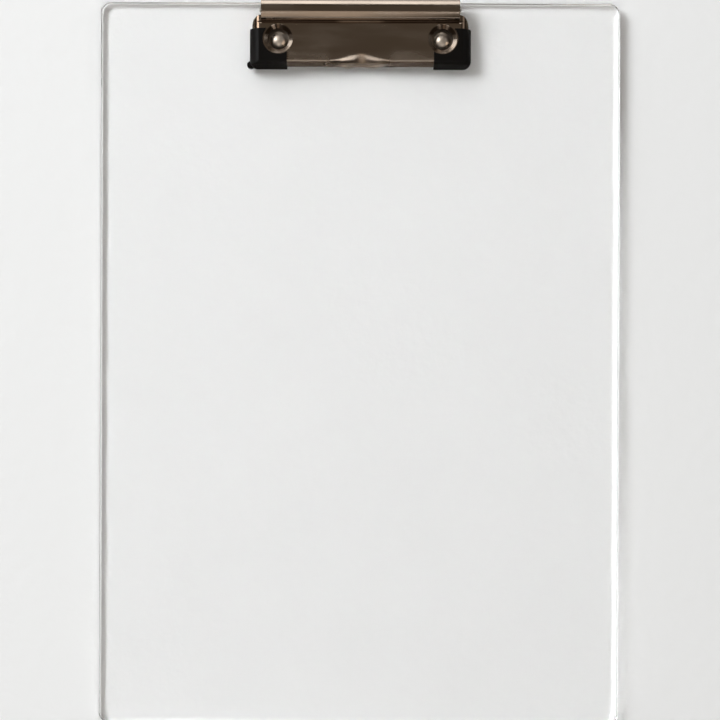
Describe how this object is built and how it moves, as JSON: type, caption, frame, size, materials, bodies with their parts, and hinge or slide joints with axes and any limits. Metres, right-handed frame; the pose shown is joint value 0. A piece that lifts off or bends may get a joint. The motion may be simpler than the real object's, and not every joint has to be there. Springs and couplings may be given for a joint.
{
  "type": "clipboard",
  "caption": "Flat clear acrylic board for letter paper with a low-profile sprung steel clip hinged across one end and dark moulded corner guards.",
  "frame": {"origin": "centre of the board's underside", "axes": "+Z out of the writing face, +Y towards the end that carries the clip, +X to the right of a reader who has the clip at the top"},
  "size_m": [0.2286, 0.3187, 0.0146],
  "materials": {
    "acrylic": "clear, polished faces and edges",
    "clip_steel": "polished bronze plate",
    "plate_steel": "satin bronze plate",
    "rivet_steel": "polished bronze plate",
    "pin_steel": "drawn",
    "spring_wire": "drawn music wire",
    "guard_rubber": "satin black moulding"
  },
  "bodies": {
    "board": {"acrylic_board": "acrylic", "base_plate": "plate_steel", "hinge_pin": "pin_steel", "left_spring": "spring_wire", "right_spring": "spring_wire", "left_rivet": "rivet_steel", "right_rivet": "rivet_steel", "left_rivet_washer": "rivet_steel", "right_rivet_washer": "rivet_steel"},
    "jaw": {"clamp_plate": "clip_steel", "left_corner_guard": "guard_rubber", "right_corner_guard": "guard_rubber"}
  },
  "joints": [
    {"name": "jaw_hinge", "type": "hinge", "parent": "board", "child": "jaw", "pos_m": [0, 0.1543, 0.0096], "axis": [-1, 0, 0], "range_deg": [0, 25], "stiffness_Nm_per_rad": 0.5, "springref_deg": -22.92, "deforming": ["left_spring", "right_spring"]}
  ]
}
